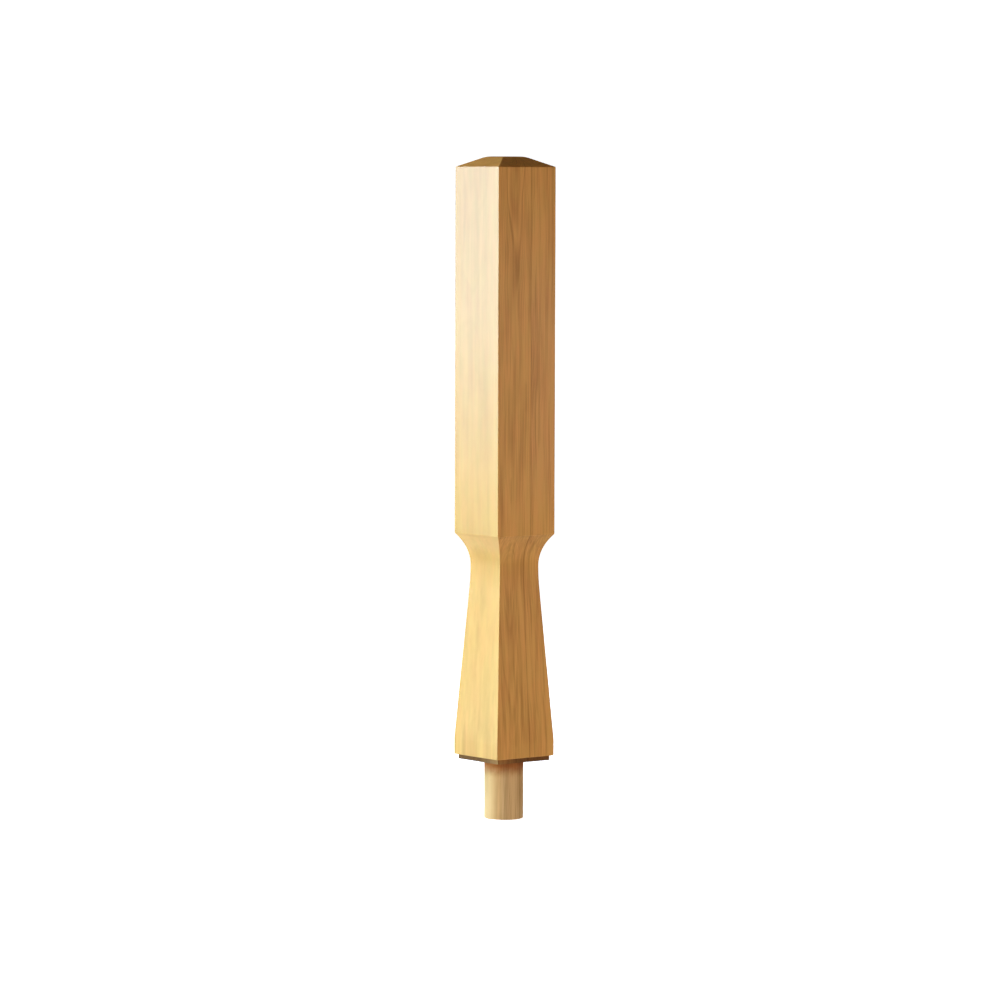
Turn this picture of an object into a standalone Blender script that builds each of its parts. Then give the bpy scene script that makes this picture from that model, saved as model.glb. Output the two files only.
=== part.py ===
"""Oak newel post: a long square block over a coved and tapered lower part, on a round spigot.

The post is one piece of oak. Its body is square in every section, so one outline is drawn and
turned in four steps. A low square step and a round spigot stand under its shoulder.
Metres, +Z up. The origin is the middle of the spigot's lower end, and the faces of the body
look along X and Y.
"""

import math

import bmesh
import bpy
from mathutils import Matrix

# Body: the square member, from its shoulder up. Heights are above the shoulder.
BODY_WIDTH = 0.091
BODY_LENGTH = 0.762
FOOT_HEIGHT = 0.020
NECK_HEIGHT = 0.243
NECK_BLEND_RADIUS = 0.405
COVE_RADIUS = 0.063
COVE_DEPTH = 0.0145
POINT_HEIGHT = 0.013
POINT_FLAT_WIDTH = 0.035
ARRIS_EASE = 0.0008

# Square step under the shoulder.
STEP_INSET = 0.004
STEP_HEIGHT = 0.006

# Round spigot, which glues into a bored base.
SPIGOT_DIAMETER = 0.050
SPIGOT_LENGTH = 0.075
SPIGOT_CHAMFER = 0.001

# How far the step and the spigot run up into the body, so that they join it in full.
JOIN_OVERLAP = 0.004

# Fineness of the round stretches, and the angle from which an edge counts as an arris.
COVE_SEGMENTS = 20
BLEND_SEGMENTS = 10
SPIGOT_SIDES = 64
EASE_SEGMENTS = 2
ARRIS_ANGLE = math.radians(30)

# Straight-grained oak under a thin clear coat.
OAK_COLOUR = (0.70, 0.47, 0.24, 1.0)
OAK_ROUGHNESS = 0.5

SHOULDER = SPIGOT_LENGTH + STEP_HEIGHT
JOIN_TOP = SHOULDER + JOIN_OVERLAP
BODY_HALF = BODY_WIDTH / 2
NECK_HALF = BODY_HALF - COVE_DEPTH


def clear_scene():
    """Remove every object that the scene starts with."""
    for obj in list(bpy.data.objects):
        bpy.data.objects.remove(obj, do_unlink=True)


def new_collection(name):
    """Make a collection in the scene."""
    collection = bpy.data.collections.new(name)
    bpy.context.scene.collection.children.link(collection)
    return collection


def new_object(name, mesh, collection):
    """Put a mesh into a collection as an object."""
    obj = bpy.data.objects.new(name, mesh)
    collection.objects.link(obj)
    return obj


def oak():
    """Warm, pale oak with a low sheen."""
    material = bpy.data.materials.new("oak")
    material.use_nodes = True
    shader = material.node_tree.nodes["Principled BSDF"]
    shader.inputs["Base Color"].default_value = OAK_COLOUR
    shader.inputs["Roughness"].default_value = OAK_ROUGHNESS
    shader.inputs["Metallic"].default_value = 0.0
    return material


def arc(centre, radius, start, end, segments):
    """Points of a circular arc from one angle to another, both ends included."""
    points = []
    for i in range(segments + 1):
        angle = start + (end - start) * i / segments
        points.append((centre[0] + radius * math.cos(angle), centre[1] + radius * math.sin(angle)))
    return points


def cove():
    """The cove, from its arris with the block down to the neck.

    Its centre lies level with the neck and one radius outside it, so the arc leaves the neck
    upright and swings out until it reaches the block's face.
    """
    centre = (NECK_HALF + COVE_RADIUS, SHOULDER + NECK_HEIGHT)
    swing = math.acos(1 - COVE_DEPTH / COVE_RADIUS)
    return arc(centre, COVE_RADIUS, math.pi - swing, math.pi, COVE_SEGMENTS)


def blend():
    """The long arc under the neck, from upright to the slope of the taper.

    The taper is the tangent from the foot's upper edge to the arc's circle. Seen from the
    circle's centre, the touching point is turned from that edge by the angle whose cosine is
    the radius over the distance between the two.
    """
    centre = (NECK_HALF + NECK_BLEND_RADIUS, SHOULDER + NECK_HEIGHT)
    run = centre[0] - BODY_HALF
    drop = NECK_HEIGHT - FOOT_HEIGHT
    swing = math.atan2(drop, run) - math.acos(NECK_BLEND_RADIUS / math.hypot(run, drop))
    return arc(centre, NECK_BLEND_RADIUS, math.pi, math.pi + swing, BLEND_SEGMENTS)


def body_outline():
    """Half widths and heights of the body, from the middle of its top down to the shoulder."""
    top = SHOULDER + BODY_LENGTH
    point = [(0.0, top), (POINT_FLAT_WIDTH / 2, top), (BODY_HALF, top - POINT_HEIGHT)]
    foot = [(BODY_HALF, SHOULDER + FOOT_HEIGHT), (BODY_HALF, SHOULDER), (0.0, SHOULDER)]
    return point + cove() + blend()[1:] + foot


def bevel(obj, name, width, segments):
    """Bevel an object's arrises, and leave the gentle bends between its facets alone."""
    modifier = obj.modifiers.new(name, "BEVEL")
    modifier.width = width
    modifier.segments = segments
    modifier.limit_method = "ANGLE"
    modifier.angle_limit = ARRIS_ANGLE


def square_body(collection):
    """The body: its outline laid along a diagonal, turned in four steps, its arrises eased."""
    diagonal = math.sqrt(2)
    points = [(x * diagonal, 0.0, z) for x, z in body_outline()]
    edges = [(i, i + 1) for i in range(len(points) - 1)]
    mesh = bpy.data.meshes.new("newel_post")
    mesh.from_pydata(points, edges, [])
    body = new_object("newel_post", mesh, collection)
    body.rotation_euler.z = math.pi / 4
    turn = body.modifiers.new("turn", "SCREW")
    turn.axis = "Z"
    turn.angle = math.tau
    turn.steps = 4
    turn.render_steps = 4
    turn.use_merge_vertices = True
    turn.merge_threshold = 0.00001
    turn.use_smooth_shade = False
    bevel(body, "eased arrises", ARRIS_EASE, EASE_SEGMENTS)
    return body


def square_step(collection):
    """The step: a box that runs from the spigot up into the body."""
    width = BODY_WIDTH - 2 * STEP_INSET
    height = JOIN_TOP - SPIGOT_LENGTH
    shape = bmesh.new()
    bmesh.ops.create_cube(shape, size=1.0, matrix=Matrix.Diagonal((width, width, height, 1.0)))
    mesh = bpy.data.meshes.new("step")
    shape.to_mesh(mesh)
    shape.free()
    step = new_object("step", mesh, collection)
    step.location.z = SPIGOT_LENGTH + height / 2
    return step


def round_spigot(collection):
    """The spigot: a cylinder with a chamfered end that runs up into the body."""
    radius = SPIGOT_DIAMETER / 2
    shape = bmesh.new()
    bmesh.ops.create_cone(
        shape, cap_ends=True, segments=SPIGOT_SIDES, radius1=radius, radius2=radius, depth=JOIN_TOP
    )
    mesh = bpy.data.meshes.new("spigot")
    shape.to_mesh(mesh)
    shape.free()
    mesh.shade_smooth()
    mesh.set_sharp_from_angle(angle=ARRIS_ANGLE)
    spigot = new_object("spigot", mesh, collection)
    spigot.location.z = JOIN_TOP / 2
    bevel(spigot, "chamfer", SPIGOT_CHAMFER, 1)
    return spigot


def join(target, addition):
    """Unite a shape with the target, and keep the shape out of sight."""
    union = target.modifiers.new("join " + addition.name, "BOOLEAN")
    union.operation = "UNION"
    union.solver = "EXACT"
    union.object = addition
    addition.hide_render = True
    addition.display_type = "WIRE"


def main():
    clear_scene()
    construction = new_collection("construction")
    post = square_body(new_collection("newel_post"))
    join(post, square_step(construction))
    join(post, round_spigot(construction))
    post.data.materials.append(oak())


main()
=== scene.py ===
"""The newel post's finish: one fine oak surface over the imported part, in soft studio light."""

import math

import bpy
import numpy as np
from mathutils import Matrix, Vector


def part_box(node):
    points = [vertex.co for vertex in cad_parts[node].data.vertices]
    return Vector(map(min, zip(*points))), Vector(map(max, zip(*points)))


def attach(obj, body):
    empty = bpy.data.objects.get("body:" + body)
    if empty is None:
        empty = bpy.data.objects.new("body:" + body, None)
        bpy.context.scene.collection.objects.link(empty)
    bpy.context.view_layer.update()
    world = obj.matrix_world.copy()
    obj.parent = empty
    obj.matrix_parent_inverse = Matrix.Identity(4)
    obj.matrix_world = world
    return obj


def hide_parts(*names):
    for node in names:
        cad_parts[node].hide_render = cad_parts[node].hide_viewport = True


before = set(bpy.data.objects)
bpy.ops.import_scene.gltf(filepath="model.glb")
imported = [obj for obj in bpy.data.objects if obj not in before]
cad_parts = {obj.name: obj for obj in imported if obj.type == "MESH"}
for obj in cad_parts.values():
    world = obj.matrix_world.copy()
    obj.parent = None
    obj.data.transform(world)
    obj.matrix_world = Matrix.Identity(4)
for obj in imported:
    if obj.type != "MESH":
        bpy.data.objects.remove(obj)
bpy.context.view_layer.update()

POST = "newel_post"
MM = 0.001

# The post's sizes, in metres. Width and top come from the frame; heights count from its origin.
post_low, post_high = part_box(POST)
BODY_HALF = (post_high.x - post_low.x) / 2
TOP = post_high.z
SPIGOT_RADIUS = 25.0 * MM
SPIGOT_TOP = 75.0 * MM
SPIGOT_CHAMFER = 1.0 * MM
STEP_HALF = BODY_HALF - 4.0 * MM
SHOULDER = SPIGOT_TOP + 6.0 * MM
FOOT_TOP = SHOULDER + 20.0 * MM
NECK = SHOULDER + 243.0 * MM
NECK_HALF = BODY_HALF - 14.5 * MM
NECK_BLEND_RADIUS = 405.0 * MM
COVE_RADIUS = 63.0 * MM
POINT_HEIGHT = 13.0 * MM
POINT_FLAT_HALF = 17.5 * MM

# How soft each edge is: the length taken off both of its sides.
SANDED = 0.8 * MM
SOFT = 2.0 * MM
CAP_SOFT = 4.5 * MM
CRISP = 0.4 * MM
INNER = 0.15 * MM

# How the upright arrises' ease swells and shrinks: share, wave length over 2 pi, phase. The ease
# is never more than EASE_LIMIT of the half width.
SANDING_WAVES = ((0.12, 31 * MM, 0.0), (0.08, 11 * MM, 1.0))
EASE_LIMIT = 0.4

# Spacing of the surface's rows; its columns on each side, spread over SIDE_SPREAD of the width
# with one more at SIDE_LAST and one at each end; and its steps round each corner and ease.
LONG_STEP = 4.0 * MM
FINE_STEP = 1.2 * MM
SIDE_COLUMNS = 26
SIDE_SPREAD = 0.95
SIDE_LAST = 0.985
CORNER_COLUMNS = 6
EASE_POINTS = 4
LEAST_ARC_STEPS = 4

# Places in the wood, in millimetres. The blank is glued up from two staves, and the joint's place
# is across the post. The others are where a change starts and ends: from stave to stave, up the
# post from bare wood to coated and from plain figure to bold, and beside the near arris.
GLUE_LINE = 6.5
STAVES_MEET = (GLUE_LINE - 0.1, GLUE_LINE + 0.1)
BARE_ENDS = (74.6, 75.2)
BOLD_RISES = (560, 720)
NEAR_ARRIS = (-44, -34)

# The piths that the growth rings turn about, in millimetres: where the first stave's lies, how
# far it wanders, how far it climbs towards its face and where, and how much flatter than round
# its rings are; then how far off the second stave's lies, how it wanders and how it leans.
PITH_X, PITH_Y = -14.5, -19.5
WANDER_X, WANDER_Y = 8, 12
CLIMB, CLIMB_RISES = 12, (640, 900)
FLATNESS = 2.1
FAR_PITH_X, FAR_PITH_Y = 27, 150
FAR_WANDER = 10
FAR_LEAN = 0.008

# The growth rings: their width in millimetres, how many rings their unevenness moves them by, the
# grain of its noise in millimetres, how many grains apart the staves read it, the first's number.
RING_WIDTH = 3.1
RING_UNEVEN = 2.0
RING_GRAIN = 9
STAVES_APART = 13
FIRST_RING = 1.0

# Ray flecks: their grain outwards and along in millimetres, and grains to a radian of bearing.
FLECK_OUT, FLECK_ALONG, FLECKS_ROUND = 26, 13, 80

# Noises in the wood: the grain's size in x, y and z in millimetres, where x starts, how far on
# in z the second stave starts (both in grains), detail and roughness.
GRAIN = {
    "wander x": (90, 60, 150, 0, 7, 1.0, 0.5),
    "wander y": (60, 30, 90, 31, 5, 2.0, 0.5),
    "pores": (0.35, 0.35, 6, 0, 0, 1.0, 0.5),
    "fibre": (5, 1.9, 90, 0, 0, 2.0, 0.5),
    "streak": (11, 6, 170, 0, 3, 1.5, 0.6),
    "cloud": (17, 17, 110, 0, 9, 1.0, 0.5),
    "tint": (12, 12, 42, 40, 0, 1.0, 0.5),
    "mottle": (20, 20, 34, 0, 0, 2.0, 0.5),
    # This noise roughens the edge of the painted shadow under the step.
    "shadow_edge": (7, 7, 9, 0, 0, 2.0, 0.5),
}

# Short dark streaks of mineral stain, in millimetres: across, from, to, width, depth of tone.
MINERAL_STREAKS = (
    (-24.6, 402, 441, 2.4, 0.16),
    (-1.6, 517, 562, 3.0, 0.12),
    (-16.0, 92, 150, 3.4, 0.12),
)
STREAK_END = 8

# The wood's colours, from pale to brown, coated and raw, and how a dark tone mixes them.
PALE = (0.753, 0.480, 0.170, 1.0)
RAW = (0.860, 0.610, 0.312, 1.0)
BROWN = (0.290, 0.128, 0.030, 1.0)
BASE_TONE = 1.02
DARK_SHARE, DARK_BASE = 0.9, 0.25

# Stains, which multiply the wood's colour in places. Some are painted light: a painted sheen in
# the cove, painted shade on the step, a painted shadow of the step on the spigot, and a cooling
# of the spigot's fill-lit side against the warm fill light.
GREENER = (0.99, 1.0, 0.96, 1.0)
REDDER = (1.03, 0.975, 0.975, 1.0)
# Painted sheen: the cove's downward face is blued and lightened as if reflecting the white floor.
PAINTED_COVE_SHEEN = (1.03, 1.04, 1.25, 1.0)
CUT_ACROSS = (0.83, 0.63, 0.40, 1.0)
GOLDEN = (1.04, 1.01, 0.90, 1.0)
HONEYED = (1.0, 0.985, 0.90, 1.0)
ROSY = (1.0, 0.99, 1.10, 1.0)
# Painted light: cools and dulls the spigot's side that faces the warm fill lamp.
FILL_SIDE_COOLING = (0.89, 1.01, 1.17, 1.0)
# Painted shadow: the step's shadow on the top of the spigot, dark and warm.
SHADOW_UNDER_STEP = (0.50, 0.27, 0.16, 1.0)
# Painted shade for the step in the recess under the shoulder.
STEP_SHADE = (0.41, 0.36, 0.34, 1.0)

# The white floor and its sweep, in metres: the innermost ring of its rows, its reach, the radius
# of its curl, where it closes overhead, the rows' spacing on the flat and in the curl, and its
# columns. Then its paper.
SWEEP_START = 0.4
SWEEP_REACH = 14.0
SWEEP_CURL = 5.0
SWEEP_CLOSES = math.radians(88)
SWEEP_STEP = 0.8
CURL_STEP = 0.5
SWEEP_COLUMNS = 96
PAPER_WHITE = 0.93
PAPER_GLOW = 1.1

# The fitted camera: where the eye is, how far down it looks, its lens and the picture's centre.
EYE_DISTANCE = 6.268
EYE_HEIGHT = 0.8296
EYE_BEARING = math.radians(-37.70)
LOOK_DOWN = math.radians(3.859)
ROLL = math.radians(0.167)
LENS = 177.72
FILM = 36.0
CENTRE_X = 0.5046
CENTRE_Y = 0.5
FARTHEST = 60.0

# The lamps, in metres and watts: bearing, distance and height of each, the height on the post
# that it faces, its width and height, power, colour, and whether matt and glossy light see it.
FAR_LEFT = math.radians(-155)
LEFT = EYE_BEARING - math.pi / 2 + math.radians(8)
RIGHT = EYE_BEARING + math.radians(28)
BEHIND = math.radians(112)
ACROSS = math.pi - EYE_BEARING
ASIDE = -EYE_BEARING
LAMPS = {
    "key": (FAR_LEFT, 1.4, 1.55, 0.8, 0.5, 0.5, 56.6, (0.63, 0.77, 1.0), True, False),
    "low key": (LEFT, 0.70, 0.12, 0.2, 0.35, 0.35, 5.8, (0.767, 0.958, 0.983), True, False),
    "fill": (RIGHT, 3.0, 0.45, 0.4, 1.4, 1.4, 39.5, (1.0, 0.672, 0.455), True, False),
    "back": (BEHIND, 3.0, 0.3, 0.4, 1.6, 1.6, 40.0, (1.0, 0.90, 0.78), True, False),
    "floor bounce": (0.0, 0.0, -0.3, 1.0, 4.0, 4.0, 29.0, (1.0, 0.877, 0.70), True, True),
    "card": (ACROSS, 2.0, 0.98, 0.98, 0.9, 1.3, 34.0, (0.74, 0.87, 1.0), False, True),
    "side card": (ASIDE, 2.0, 0.48, 0.48, 0.7, 0.5, 1.2, (1.0, 1.0, 1.0), False, True),
}
AIR_COLOUR = (1.0, 0.86, 0.72, 1.0)
AIR_STRENGTH = 0.01


def line(start, end, step):
    """Points of a straight line from start to end, evenly spaced no further apart than step."""
    start, end = np.array(start), np.array(end)
    count = max(1, math.ceil(np.linalg.norm(end - start) / step))
    share = np.linspace(0, 1, count + 1)[:, None]
    return start + (end - start) * share


def arc(centre, radius, start, end, step):
    """Points of a circular arc: centre + radius (cos a, sin a), with a from start to end."""
    count = max(LEAST_ARC_STEPS, math.ceil(abs(end - start) * radius / step))
    angle = np.linspace(start, end, count + 1)
    return np.stack([centre[0] + radius * np.cos(angle), centre[1] + radius * np.sin(angle)], 1)


def trimmed(points, head, tail):
    """A line of points with head and tail cut off its ends, measured along it.

    A point is added as far again from each cut, which keeps the shading of an eased edge
    from running out over the flat beside it.
    """
    steps = np.linalg.norm(np.diff(points, axis=0), axis=1)
    along = np.concatenate([[0.0], np.cumsum(steps)])
    first, last = head, along[-1] - tail
    inner = along[(along > first + 2 * head) & (along < last - 2 * tail)]
    marks = np.unique(np.concatenate([[first, first + head], inner, [last - tail, last]]))
    return np.stack([np.interp(marks, along, points[:, k]) for k in (0, 1)], 1)


def eased(stretches, eases):
    """Join stretches of outline end to end, each joint rounded by its ease.

    A rounded joint is the curve (1 - t)^2 A + 2 t (1 - t) P + t^2 B through the corner P,
    between the cut ends A and B of the stretches beside it.
    """
    heads = [0.0] + eases
    tails = eases + [0.0]
    parts = []
    t = np.linspace(0, 1, EASE_POINTS + 2)[1:-1, None]
    for i, points in enumerate(stretches):
        part = trimmed(points, heads[i], tails[i])
        if heads[i]:
            corner, a, b = points[0], parts[-1][-1], part[0]
            parts.append((1 - t) ** 2 * a + 2 * t * (1 - t) * corner + t**2 * b)
        elif i:
            part = part[1:]
        parts.append(part)
    return np.concatenate(parts)


def post_outline():
    """Half widths and heights of the post from its top flat down to the spigot's end.

    The cove is an arc about a point level with the neck and one radius outside it. The blend
    under the neck is a long arc about a like point, up to where the tangent from the foot's
    upper edge touches it.
    """
    cove_centre = (NECK_HALF + COVE_RADIUS, NECK)
    cove_swing = math.acos((cove_centre[0] - BODY_HALF) / COVE_RADIUS)
    cove = arc(cove_centre, COVE_RADIUS, math.pi - cove_swing, math.pi, FINE_STEP)
    blend_centre = (NECK_HALF + NECK_BLEND_RADIUS, NECK)
    run, drop = blend_centre[0] - BODY_HALF, NECK - FOOT_TOP
    blend_swing = math.atan2(drop, run) - math.acos(NECK_BLEND_RADIUS / math.hypot(run, drop))
    blend = arc(blend_centre, NECK_BLEND_RADIUS, math.pi, math.pi + blend_swing, LONG_STEP)
    flat = (POINT_FLAT_HALF, TOP)
    point_foot = (BODY_HALF, TOP - POINT_HEIGHT)
    step_foot = (STEP_HALF, SPIGOT_TOP)
    spigot_root = (SPIGOT_RADIUS, SPIGOT_TOP)
    chamfer = (SPIGOT_RADIUS, SPIGOT_CHAMFER)
    end = (SPIGOT_RADIUS - SPIGOT_CHAMFER, 0.0)
    stretches = [
        line((LONG_STEP, TOP), flat, LONG_STEP),
        line(flat, point_foot, LONG_STEP),
        line(point_foot, cove[0], LONG_STEP),
        cove,
        blend,
        line(blend[-1], (BODY_HALF, FOOT_TOP), LONG_STEP),
        line((BODY_HALF, FOOT_TOP), (BODY_HALF, SHOULDER), LONG_STEP),
        line((BODY_HALF, SHOULDER), (STEP_HALF, SHOULDER), FINE_STEP),
        line((STEP_HALF, SHOULDER), step_foot, FINE_STEP),
        line(step_foot, spigot_root, FINE_STEP),
        line(spigot_root, chamfer, LONG_STEP),
        line(chamfer, end, FINE_STEP),
        line(end, (LONG_STEP, 0.0), LONG_STEP),
    ]
    eases = [CAP_SOFT, SANDED, SANDED, 0.0, 0.0, SOFT, SANDED, INNER, CRISP, INNER, CRISP, CRISP]
    return eased(stretches, eases)


def rings(half, height, ease, roundness):
    """One ring of points for each row: a square with round corners, a circle, or between.

    A square ring is (half - ease) times the unit square's edge plus ease times its outward
    normal, which turns through each corner. A round ring is half (cos a, sin a), with the
    columns evenly spread. Roundness mixes the two.
    """
    spread = np.linspace(-SIDE_SPREAD, SIDE_SPREAD, SIDE_COLUMNS)
    side = np.concatenate([[-1.0, -SIDE_LAST], spread, [SIDE_LAST, 1.0]])
    turn = np.linspace(0, np.pi / 2, CORNER_COLUMNS + 1)[1:-1]
    along = np.concatenate([side, np.ones(len(turn))])
    across = np.ones(len(along))
    normal = np.concatenate([np.zeros(len(side)), turn])
    middle = (len(side) - 1) / 2
    even = (np.arange(len(along)) - middle) / len(along) * np.pi / 2
    quarters = []
    for quarter in range(4):
        swing = quarter * np.pi / 2
        c, s = round(math.cos(swing)), round(math.sin(swing))
        square_x = (half - ease) * (c * across - s * along) + ease * np.cos(normal + swing)
        square_y = (half - ease) * (s * across + c * along) + ease * np.sin(normal + swing)
        circle_x = half * np.cos(even + swing)
        circle_y = half * np.sin(even + swing)
        x = square_x + (circle_x - square_x) * roundness
        y = square_y + (circle_y - square_y) * roundness
        quarters.append(np.stack([x, y, np.broadcast_to(height, x.shape)], 2))
    return np.concatenate(quarters, 1)


def closed_surface(name, grid):
    """A mesh from rows of rings, top to bottom, with a middle point closing each end."""
    rows, columns, _ = grid.shape
    top = [0.0, 0.0, grid[0, 0, 2]]
    bottom = [0.0, 0.0, grid[-1, 0, 2]]
    points = np.concatenate([grid.reshape(-1, 3), [top, bottom]])
    here = np.arange(columns)
    after = np.roll(here, -1)
    row = np.arange(rows - 1)[:, None] * columns
    quads = np.stack([row + here, row + columns + here, row + columns + after, row + after], 2)
    last = (rows - 1) * columns
    top_fan = np.stack([np.full(columns, rows * columns), here, after], 1)
    bottom_fan = np.stack([np.full(columns, rows * columns + 1), last + after, last + here], 1)
    mesh = bpy.data.meshes.new(name)
    faces = quads.reshape(-1, 4).tolist() + top_fan.tolist() + bottom_fan.tolist()
    mesh.from_pydata(points.tolist(), [], faces)
    mesh.shade_smooth()
    mesh.update()
    piece = bpy.data.objects.new(name, mesh)
    bpy.context.scene.collection.objects.link(piece)
    return piece


def make_post():
    """The whole post as one surface: its outline carried round a square that turns round below.

    The arrises are sanded by hand, so their ease swells and shrinks a little along the post:
    ease = SANDED (1 + the sum of share sin(z / length + phase)) over the sanding waves.
    """
    half, height = (column[:, None] for column in post_outline().T)
    waves = sum(share * np.sin(height / length + phase) for share, length, phase in SANDING_WAVES)
    ease = np.minimum(SANDED * (1 + waves), EASE_LIMIT * half)
    under = height < SPIGOT_TOP + CRISP
    inward = (STEP_HALF - half) / (STEP_HALF - SPIGOT_RADIUS)
    roundness = np.clip(inward, 0, 1) * under
    return closed_surface("oak_newel", rings(half, height, ease, roundness))


class Reading:
    """A value inside a material. Arithmetic on it adds the Math nodes that work it out."""

    def __init__(self, bench, socket):
        self.bench = bench
        self.socket = socket

    def other(self, name):
        """Another output of the same node."""
        return Reading(self.bench, self.socket.node.outputs[name])

    def __add__(self, value):
        return self.bench.math("ADD", self, value)

    def __radd__(self, value):
        return self.bench.math("ADD", value, self)

    def __sub__(self, value):
        return self.bench.math("SUBTRACT", self, value)

    def __rsub__(self, value):
        return self.bench.math("SUBTRACT", value, self)

    def __mul__(self, value):
        return self.bench.math("MULTIPLY", self, value)

    def __rmul__(self, value):
        return self.bench.math("MULTIPLY", value, self)

    def __truediv__(self, value):
        return self.bench.math("DIVIDE", self, value)

    def __abs__(self):
        return self.bench.math("ABSOLUTE", self)


class Bench:
    """Where one material is made. node() adds any node; the rest are its common forms."""

    def __init__(self, name):
        self.material = bpy.data.materials.new(name)
        self.material.use_nodes = True
        self.tree = self.material.node_tree
        self.tree.nodes.clear()

    def node(self, kind, settings=None, sockets=None, output=0):
        """Add a node: its settings are set first, then its sockets, and an output is read."""
        made = self.tree.nodes.new(kind)
        for key, value in (settings or {}).items():
            setattr(made, key, value)
        for key, value in (sockets or {}).items():
            if isinstance(value, Reading):
                self.tree.links.new(value.socket, made.inputs[key])
            else:
                made.inputs[key].default_value = value
        if not made.outputs:
            return made
        return Reading(self, made.outputs[output])

    def math(self, operation, *values):
        """One Math node on one, two or three values."""
        return self.node("ShaderNodeMath", {"operation": operation}, dict(enumerate(values)))

    def split(self, vector, scale):
        """The three parts of a vector, each times scale."""
        sockets = {0: vector, "Scale": scale}
        scaled = self.node("ShaderNodeVectorMath", {"operation": "SCALE"}, sockets)
        parts = self.node("ShaderNodeSeparateXYZ", None, {0: scaled}, "X")
        return parts, parts.other("Y"), parts.other("Z")

    def noise(self, x, y, z, detail, roughness=0.5):
        """Smooth noise about 0 with a grain of one unit, read at (x, y, z)."""
        place = self.node("ShaderNodeCombineXYZ", None, {"X": x, "Y": y, "Z": z})
        sockets = {"Vector": place, "Scale": 1.0, "Detail": detail, "Roughness": roughness}
        return self.node("ShaderNodeTexNoise", {"noise_dimensions": "3D"}, sockets) - 0.5

    def ramp(self, value, low, high):
        """0 below low, 1 above high, and a smooth rise between."""
        settings = {"interpolation_type": "SMOOTHSTEP"}
        sockets = {"Value": value, "From Min": low, "From Max": high}
        return self.node("ShaderNodeMapRange", settings, sockets)

    def fall(self, value, low, high):
        """1 below low, 0 above high, and a smooth fall between."""
        return 1 - self.ramp(value, low, high)

    def band(self, value, start, whole, wanes, end):
        """0 outside start to end, 1 from whole to wanes, smooth between."""
        return self.ramp(value, start, whole) * self.fall(value, wanes, end)

    def lifted(self, value, least):
        """A share from 0 to 1, squeezed into least to 1."""
        return value * (1 - least) + least

    def mix(self, factor, a, b, blend="MIX"):
        """Mix two colours, or with another blend put the second over the first by a factor."""
        settings = {"data_type": "RGBA", "blend_type": blend}
        return self.node("ShaderNodeMix", settings, {0: factor, 6: a, 7: b}, 2)

    def surface(self, sockets):
        """Finish the material with a principled surface that has these sockets."""
        shader = self.node("ShaderNodeBsdfPrincipled", None, sockets)
        self.node("ShaderNodeOutputMaterial", None, {"Surface": shader})
        return self.material


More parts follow.
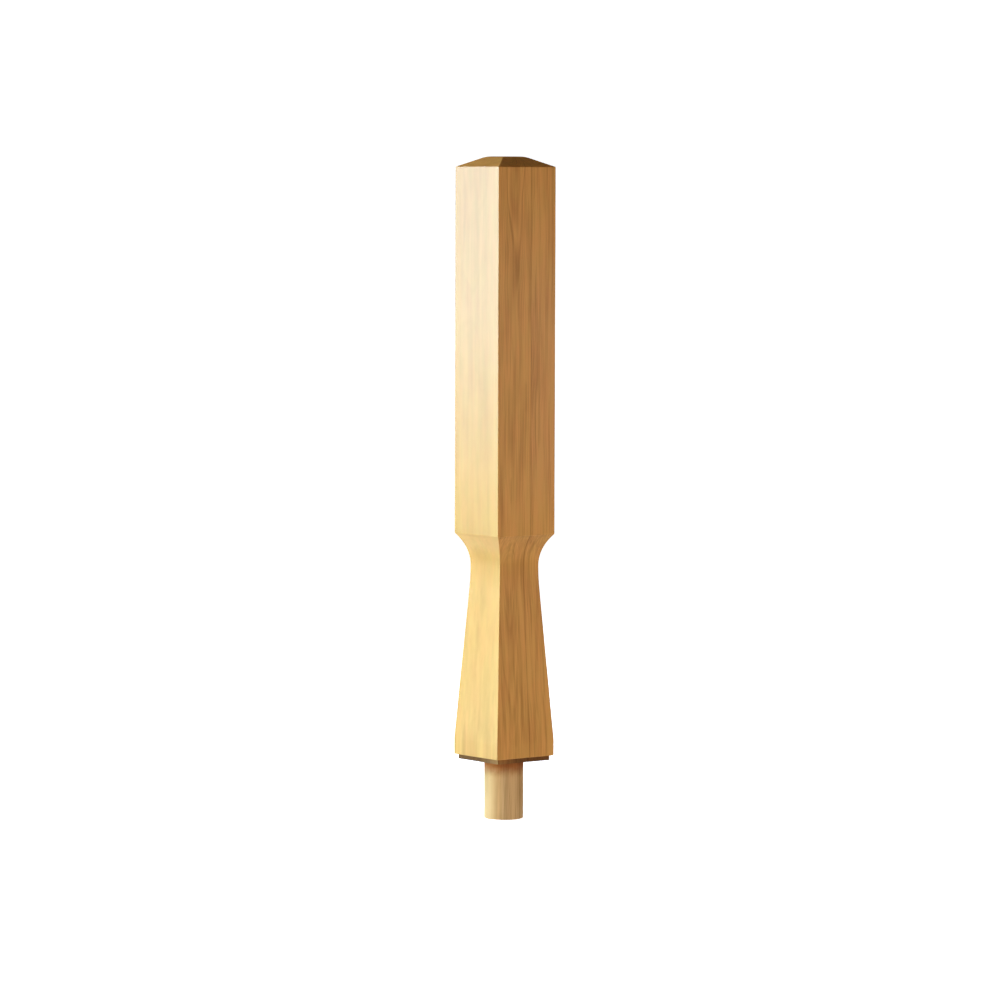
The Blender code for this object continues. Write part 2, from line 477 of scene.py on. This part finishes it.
class Oak(Bench):
    """Oak glued up from two staves, satin coated, with bare wood on the spigot.

    Everything is read from the place in the wood, in millimetres, and from how the surface
    faces, so the figure runs through the post: arches and straight lines on one pair of faces,
    ray flecks on the other, and rings on the end grain.
    """

    def __init__(self, name):
        super().__init__(name)
        self.read_place()
        self.read_facing()
        self.grow_rings()
        fibre, pores = self.grain["fibre"], self.pores
        rough = 0.46 + self.end_grain * 0.14 + self.bare * 0.2 + fibre * 0.12 + pores * 0.15
        rough = rough - self.fleck * 0.07
        relief = fibre * 0.25 - pores * 0.55 - self.early * 0.25
        bump = {"Strength": 0.35, "Distance": 0.25 * MM, "Height": relief}
        coat = self.ramp(self.z, 300, 430) * 0.2 + self.ramp(self.z, 500, 660) * 0.15 + 0.25
        self.surface({
            "Base Color": self.stained(self.tone()),
            "Roughness": rough,
            "Normal": self.node("ShaderNodeBump", None, bump),
            "Specular IOR Level": 0.2,
            "Coat Weight": coat * (1 - self.bare) * (1 - self.end_grain * 0.5),
            "Coat Roughness": 0.24,
        })

    def read_place(self):
        """The place in millimetres, the stave it lies in, whether it is bare, and the noises."""
        self.place = self.node("ShaderNodeTexCoord", None, None, "Object")
        x, y, z = self.x, self.y, self.z = self.split(self.place, 1 / MM)
        self.second = self.ramp(y, *STAVES_MEET)
        self.first = 1 - self.second
        self.bare = self.fall(z, *BARE_ENDS)
        self.grain = {}
        for name, (wide, deep, long, start, shift, detail, roughness) in GRAIN.items():
            along = z / long + self.second * shift
            self.grain[name] = self.noise(x / wide + start, y / deep, along, detail, roughness)

    def read_facing(self):
        """How far the surface faces each way, as shares from 0 to 1.

        Broadside is across the rings and narrow along the rays. End grain faces up or down, and a
        slant lies between as in the cove. Its steepest part, just under the cove's top arris,
        carries a painted shadow. Worn is an upright arris.
        """
        nx, ny, nz = (abs(part) for part in self.split(self.place.other("Normal"), 1.0))
        self.broadside = self.ramp(nx, 0.3, 0.8)
        self.narrow = 1 - self.broadside
        self.end_grain = self.ramp(nz, 0.64, 0.88)
        self.slant = self.ramp(nz, 0.08, 0.5) * (1 - self.end_grain)
        # Where the painted shadow under the cove's top arris goes.
        self.shade_under_arris = self.ramp(nz, 0.57, 0.63) * (1 - self.end_grain)
        self.worn = self.ramp(nx * ny, 0.12, 0.42) * (1 - self.bare)

    def grow_rings(self):
        """Growth rings of uneven width about each stave's pith, with their pores and ray flecks.

        The first stave's pith climbs towards one face near the top, which draws narrow nested
        arches there; the second's lies far outside the post. The number of rings out is the
        distance over the ring's width, moved by noise. Each ring starts in a band of open
        pores, stronger in some rings than in others, and closes dense.
        """
        x, y, z, first, second = self.x, self.y, self.z, self.first, self.second
        wander = self.grain["wander x"]
        near_x = wander * WANDER_X - self.ramp(z, *CLIMB_RISES) * CLIMB
        far_x = wander * FAR_WANDER + FAR_PITH_X + z * FAR_LEAN
        away_x = x - PITH_X + first * near_x + second * far_x
        away_y = y - PITH_Y + self.grain["wander y"] * WANDER_Y
        away_y = first * away_y * FLATNESS + second * (FAR_PITH_Y - away_y)
        reach = self.math("SQRT", away_x * away_x + away_y * away_y)
        bearing = self.math("ARCTAN2", away_y, away_x)

        uneven = self.noise(reach / RING_GRAIN, second * STAVES_APART, 0.0, 2.0)
        count = reach / RING_WIDTH + uneven * RING_UNEVEN + FIRST_RING
        ring = self.math("FLOOR", count)
        within = count - ring
        strength = self.node("ShaderNodeTexWhiteNoise", {"noise_dimensions": "1D"}, {"W": ring})
        self.early = self.band(within, 0.0, 0.34, 0.3, 0.95) * self.lifted(strength, 0.2)
        self.late = self.ramp(within, 0.5, 0.98)
        self.pores = self.ramp(self.grain["pores"], 0.06, 0.20) * self.lifted(self.early, 0.2)
        fleck = self.noise(reach / FLECK_OUT, bearing * FLECKS_ROUND, z / FLECK_ALONG, 1.5)
        self.fleck = self.ramp(fleck, 0.10, 0.20)

    def tone(self):
        """How light the wood is: BASE_TONE plus each mark times its weight.

        The face across the rings shows its lines boldly, and the face along the rays faintly. The
        cove's lightening on the narrow face and darkening on the broad face are painted light,
        and the dark line under the cove's top arris is a painted shadow.
        """
        x, y, z = self.x, self.y, self.z
        broadside, narrow, slant = self.broadside, self.narrow, self.slant
        fibre, streak, cloud = (self.grain[name] for name in ("fibre", "streak", "cloud"))
        bold = self.lifted(broadside, 0.32)
        high_up = self.ramp(z, *BOLD_RISES)
        figure = self.first * high_up * 0.5 + 0.5
        figure = figure * (broadside * 0.9 + self.end_grain + 0.1) * (1 - slant * 0.6)
        glue = self.fall(abs(y - GLUE_LINE), 0.4, 1.7) * bold
        above_middle = self.ramp(z, 440, 560)
        shade = self.band(y, *NEAR_ARRIS, -22, -6) * self.ramp(z, 640, 730)
        near_face = self.ramp(x, 8, 44)
        near_strip = self.ramp(x, 16, 38) * narrow
        far_strip = self.ramp(y, 32, 43) * (1 - high_up * 0.6)
        above_cove = self.band(z, 366, 390, 440, 520) * narrow
        foot = self.band(z, *BARE_ENDS, 82, 150)
        foot_corner = foot * self.fall(y, *NEAR_ARRIS)
        heart = self.bare * self.band(y, -21, -16, -12, -2)
        marks = [
            (self.early * figure, -0.38),
            (self.late * figure, 0.06),
            (self.pores, -0.06),
            (self.fleck, 0.03),
            (fibre * bold, 0.8),
            (streak * bold, 1.0),
            (cloud * bold, 0.6),
            (self.grain["mottle"], 0.20),
            (self.second, 0.01),
            (self.worn, 0.08),
            # Painted shadow just under the cove's top arris.
            (self.shade_under_arris, -0.14),
            # Painted light: the cove is lighter on the narrow face, as if lit from below, and
            # darker on the broad face.
            (slant, 0.24),
            (slant * broadside, -0.42),
            (glue, -0.36),
            (glue * above_middle, 0.14),
            (shade * broadside, -0.10),
            (near_face, 0.14),
            (near_strip, 0.06),
            (far_strip, 0.17),
            (above_cove, 0.05),
            (foot * streak * narrow, 0.6),
            (foot_corner * broadside, -0.12),
            (heart, -0.10),
        ]
        for across, low, high, width, depth in MINERAL_STREAKS:
            along = self.band(z, low, low + STREAK_END, high - STREAK_END, high)
            marks.append((along * self.fall(abs(y - across), width / 3, width), -depth))
        tone = BASE_TONE
        for mark, weight in marks:
            tone = tone + mark * weight
        return tone

    def stained(self, tone):
        """The wood's colour: pale to brown by its tone, then multiplied by each stain's share.

        The step under the shoulder is darkened twice with painted shade, less so at its near
        corner. The spigot's top has a painted shadow of the step, the cove's narrow face a
        painted sheen, and the spigot's fill-lit side is cooled against the warm fill light.
        """
        x, y, z = self.x, self.y, self.z
        broadside, narrow, bare = self.broadside, self.narrow, self.bare
        dark = (1 - tone) * DARK_SHARE + DARK_BASE
        wood = self.mix(bare, self.mix(dark, PALE, BROWN), self.mix(dark, RAW, BROWN))
        coated = 1 - bare
        patches = self.mix(self.ramp(self.grain["tint"], -0.2, 0.2), GREENER, REDDER)
        waist = narrow * self.band(z, 110, 290, 330, 352)
        far_margin = narrow * self.fall(x, -42, -26) * coated
        blush = self.second * broadside * self.band(z, 380, 480, 640, 740)
        # The spigot's side towards the fill lamp, cooled against the fill's warm light.
        spigot_fill_side = bare * self.ramp(x + y * 0.3, 8, 18)
        # Painted shadow of the step on the spigot's top, with a ragged lower edge.
        spigot_root = bare * self.ramp(z + self.grain["shadow_edge"] * 8, 51, 71)
        # The step gets painted shade, as if shaded by the shoulder's overhang; its near corner
        # gets less.
        step = self.band(z, 74.9, 75.1, 80.2, 80.8)
        near_corner = self.ramp(x - y, 40, 82)
        stains = (
            (coated, patches),
            # Painted sheen on the cove's narrow face.
            (self.slant * narrow, PAINTED_COVE_SHEEN),
            (self.end_grain, CUT_ACROSS),
            (waist, GOLDEN),
            (far_margin, HONEYED),
            (blush, ROSY),
            (spigot_fill_side, FILL_SIDE_COOLING),
            # The painted shadow under the step.
            (spigot_root, SHADOW_UNDER_STEP),
            # Painted shade on the step, applied twice.
            (step * (1.0 - near_corner * 0.1), STEP_SHADE),
            (step * (0.8 - near_corner * 0.7), STEP_SHADE),
        )
        for share, stain in stains:
            wood = self.mix(share, wood, stain, "MULTIPLY")
        return wood


def paper(name):
    """The white of the floor and its sweep, with a little light of its own."""
    return Bench(name).surface({
        "Base Color": (PAPER_WHITE, PAPER_WHITE, PAPER_WHITE, 1.0),
        "Roughness": 0.9,
        "Specular IOR Level": 0.1,
        "Emission Color": (1.0, 1.0, 1.0, 1.0),
        "Emission Strength": PAPER_GLOW,
    })


def make_sweep():
    """A seamless white floor: a flat disc that curls up into a wall and closes overhead.

    Its outline is a line along the floor, a quarter circle up into the wall and a second
    quarter circle over the top, turned about the post.
    """
    inside = SWEEP_REACH - SWEEP_CURL
    floor = line((SWEEP_START, 0.0), (inside, 0.0), SWEEP_STEP)
    rise = arc((inside, SWEEP_CURL), SWEEP_CURL, -math.pi / 2, 0.0, CURL_STEP)
    dome = arc((0.0, SWEEP_CURL), SWEEP_REACH, 0.0, SWEEP_CLOSES, SWEEP_STEP)
    outline = np.concatenate([floor, rise[1:], dome[1:]])
    angle = np.linspace(0, 2 * np.pi, SWEEP_COLUMNS + 1)[:-1]
    x = outline[:, :1] * np.cos(angle)
    y = outline[:, :1] * np.sin(angle)
    grid = np.stack([x, y, np.broadcast_to(outline[:, 1:], x.shape)], 2)
    sweep = closed_surface("white_sweep", grid[:, ::-1])
    sweep.data.materials.append(paper("white paper"))
    sweep.visible_diffuse = False
    sweep.visible_glossy = False
    sweep.visible_shadow = False


def bearing_to(angle, distance, height):
    """A place at a bearing from the post, seen from above, counted from +X towards +Y."""
    return Vector((distance * math.cos(angle), distance * math.sin(angle), height))


def softbox(name, bearing, distance, height, aim, width, length, power, colour, matt, glossy):
    """A rectangular lamp turned to face the post at a height, in matt or glossy light or both."""
    lamp = bpy.data.lights.new(name, "AREA")
    lamp.shape = "RECTANGLE"
    lamp.size = width
    lamp.size_y = length
    lamp.energy = power
    lamp.color = colour
    box = bpy.data.objects.new(name, lamp)
    box.location = bearing_to(bearing, distance, height)
    box.rotation_euler = (Vector((0, 0, aim)) - box.location).to_track_quat("-Z", "Y").to_euler()
    box.visible_camera = False
    box.visible_diffuse = matt
    box.visible_glossy = glossy
    bpy.context.scene.collection.objects.link(box)


def make_light():
    """Hang the lamps and light the air faintly.

    Cool keys hang high and low on the left, with a warm fill on the right, a lamp behind, the
    floor's bounce and two cards that only show as sheen.
    """
    for name, row in LAMPS.items():
        softbox(name, *row)
    world = bpy.data.worlds.new("studio air")
    bpy.context.scene.world = world
    world.use_nodes = True
    air = world.node_tree.nodes["Background"]
    air.inputs["Color"].default_value = AIR_COLOUR
    air.inputs["Strength"].default_value = AIR_STRENGTH


def make_camera():
    """The fitted camera: set at the eye, looking across the post and slightly down."""
    eye = bpy.data.cameras.new("eye")
    eye.lens = LENS
    eye.sensor_width = FILM
    eye.sensor_fit = "HORIZONTAL"
    eye.shift_x = 0.5 - CENTRE_X
    eye.shift_y = CENTRE_Y - 0.5
    eye.clip_end = FARTHEST
    camera = bpy.data.objects.new("eye", eye)
    place = bearing_to(EYE_BEARING, EYE_DISTANCE, EYE_HEIGHT)
    turn = Matrix.Rotation(EYE_BEARING + math.pi / 2, 4, "Z")
    tilt = Matrix.Rotation(math.pi / 2 - LOOK_DOWN, 4, "X")
    camera.matrix_world = Matrix.Translation(place) @ turn @ tilt @ Matrix.Rotation(ROLL, 4, "Z")
    bpy.context.scene.collection.objects.link(camera)
    bpy.context.scene.camera = camera


make_camera()
post = make_post()
post.data.materials.append(Oak("satin oak").material)
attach(post, "root")
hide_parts(POST)
make_sweep()
make_light()
bpy.context.scene.view_settings.view_transform = "Standard"
